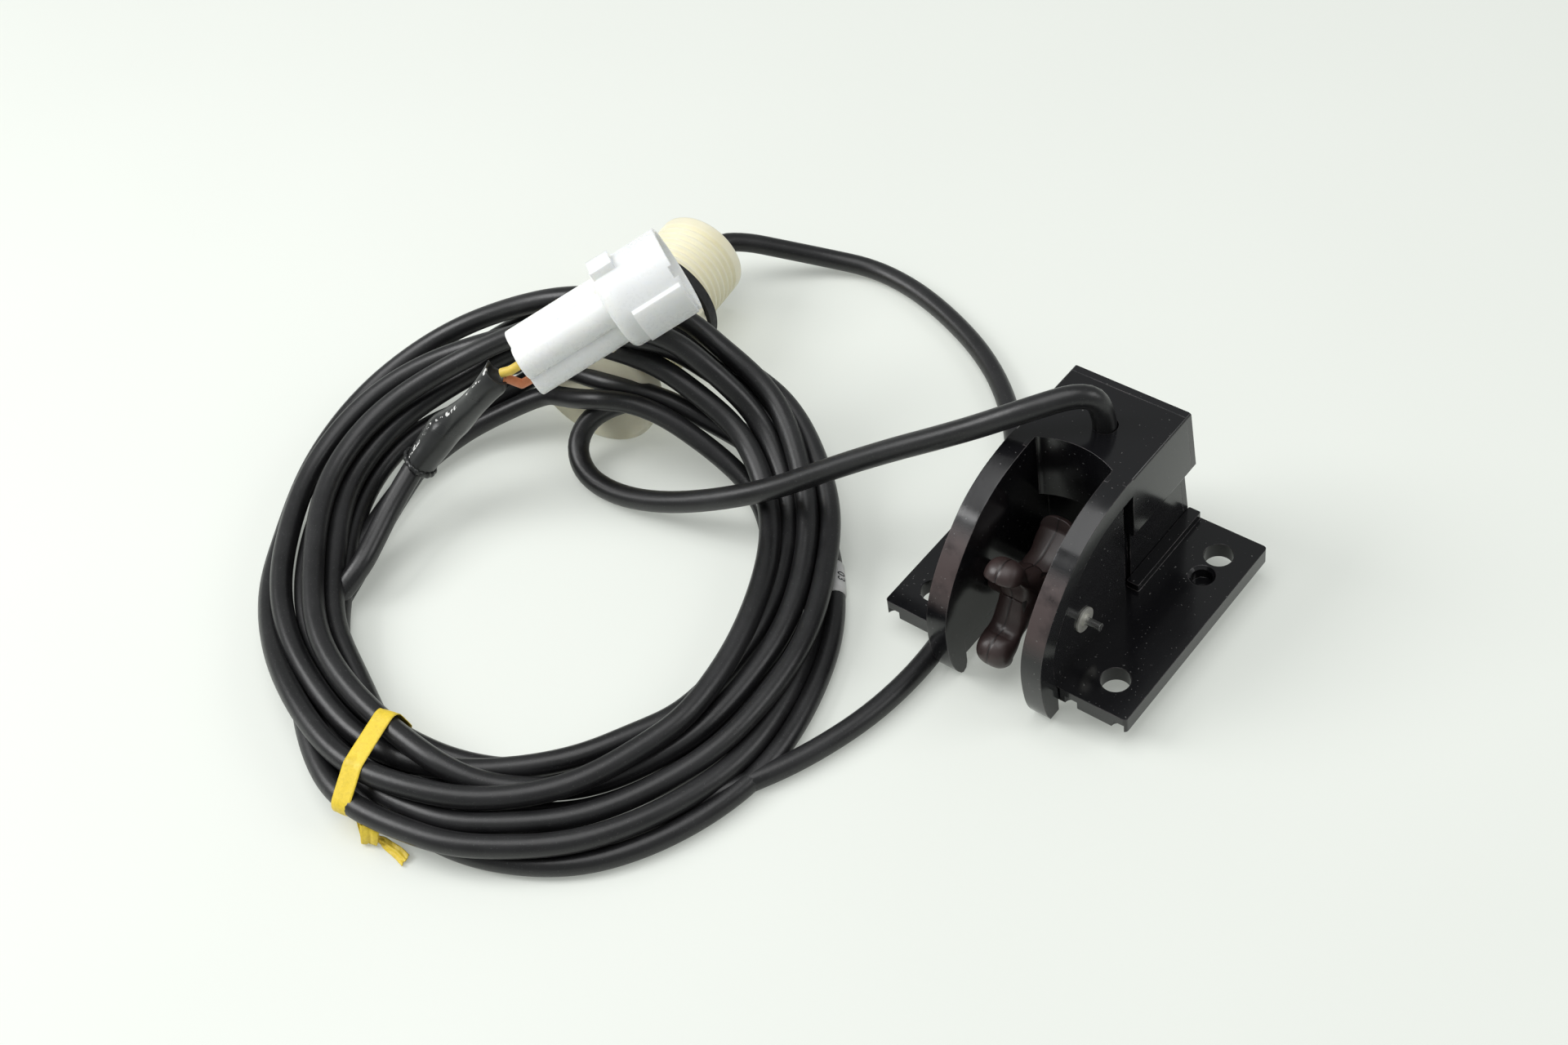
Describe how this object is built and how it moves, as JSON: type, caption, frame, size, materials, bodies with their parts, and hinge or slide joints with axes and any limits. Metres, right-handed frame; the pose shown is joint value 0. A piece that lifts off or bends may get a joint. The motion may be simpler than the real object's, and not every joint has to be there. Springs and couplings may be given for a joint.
{
  "type": "boat depth and speed transducer set",
  "caption": "Black paddlewheel speed sensor on a screw-down bracket and a cream ultrasonic depth transducer with a threaded stem, on cables coiled together that end in a white plug.",
  "frame": {"origin": "centre of the bracket's four screw holes, on the bracket's back face", "axes": "+Z out of the bracket's back face through the bracket, away from the surface it screws to; +Y from the paddlewheel to the end cap; +X across the bracket"},
  "size_m": [0.2243, 0.2155, 0.0684],
  "materials": {
    "black_gloss": "glossy",
    "cap_black": "glossy",
    "wheel_brown": "satin",
    "magnet": "satin",
    "steel": "satin",
    "pcb": "matte",
    "chip": "matte",
    "potting": "matte",
    "cream": "satin",
    "piezo": "matte",
    "cork": "matte",
    "rubber": "matte",
    "white_nylon": "satin",
    "tin": "satin",
    "wire_yellow": "satin",
    "wire_orange": "satin",
    "wire_black": "satin",
    "shrink": "satin",
    "cable_black": "satin",
    "tie_yellow": "satin",
    "marker_white": "satin"
  },
  "bodies": {
    "base": {"bracket_plate": "black_gloss", "sensor_body": "black_gloss", "end_cap": "cap_black", "hall_board": "pcb", "hall_chip": "chip", "body_potting": "potting", "body_screws": "steel", "axle_pin": "steel", "push_nut": "steel", "transducer_housing": "cream", "piezo_disc": "piezo", "cork_liner": "cork", "stem_potting": "potting", "stem_gland": "rubber", "plug_shell": "white_nylon", "contact_pins": "tin", "wire_yellow": "wire_yellow", "wire_orange": "wire_orange", "wire_black": "wire_black", "heat_shrink_sleeve": "shrink", "sleeve_tie": "shrink", "speed_cable": "cable_black", "depth_cable": "cable_black", "speed_cable_tail": "cable_black", "depth_cable_tail": "cable_black", "cable_coil_outer": "cable_black", "cable_coil_inner": "cable_black", "twist_tie": "tie_yellow", "cable_marker": "marker_white"},
    "paddle": {"paddle_wheel": "wheel_brown", "wheel_magnets": "magnet"},
    "washer": {"rubber_washer": "rubber"},
    "nut": {"hull_nut": "cream"}
  },
  "joints": [
    {"name": "paddle_spin", "type": "hinge", "parent": "base", "child": "paddle", "pos_m": [0, -0.0182, 0.0149], "axis": [1, 0, 0], "continuous": true},
    {"name": "washer_slide", "type": "slide", "parent": "base", "child": "washer", "axis": [-0.1768, 0.9829, -0.0517], "range_m": [-0.004, 0.02]},
    {"name": "nut_turn", "type": "hinge", "parent": "washer", "child": "nut", "pos_m": [-0.14074, 0.01009, 0.01193], "axis": [-0.1768, 0.9829, -0.0517], "range_deg": [-656, 3274]}
  ],
  "couplings": [
    {"joint": "nut_turn", "follows": "washer_slide", "rad_per_m": 2856}
  ]
}
